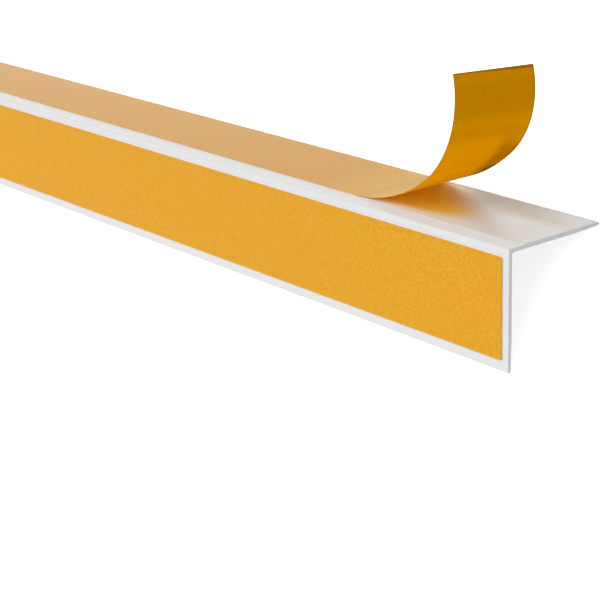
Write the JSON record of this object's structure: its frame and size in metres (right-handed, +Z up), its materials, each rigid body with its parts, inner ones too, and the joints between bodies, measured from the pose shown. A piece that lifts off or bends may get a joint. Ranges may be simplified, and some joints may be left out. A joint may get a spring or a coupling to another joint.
{
  "type": "corner guard moulding",
  "caption": "Straight white plastic angle moulding with equal flanges, self-adhesive outer faces and paper release liners, one liner peeled back at an end.",
  "frame": {"origin": "on the floor that the strip rests on, under the middle of its bounding box", "axes": "+X along the strip towards the end with the peeled liner, +Z up, +Y towards the side that the top flange slopes down to"},
  "size_m": [1, 0.0664, 0.0437],
  "materials": {
    "white_plastic": "smooth satin extruded surface",
    "adhesive": "glossy cream pressure-sensitive adhesive",
    "release_paper": "satin yellow silicone-coated paper"
  },
  "bodies": {
    "root": {"angle_profile": "white_plastic", "adhesive_strip_side": "adhesive", "release_liner_side": "release_paper", "adhesive_strip_top": "adhesive", "release_liner_top": "release_paper"}
  },
  "joints": []
}
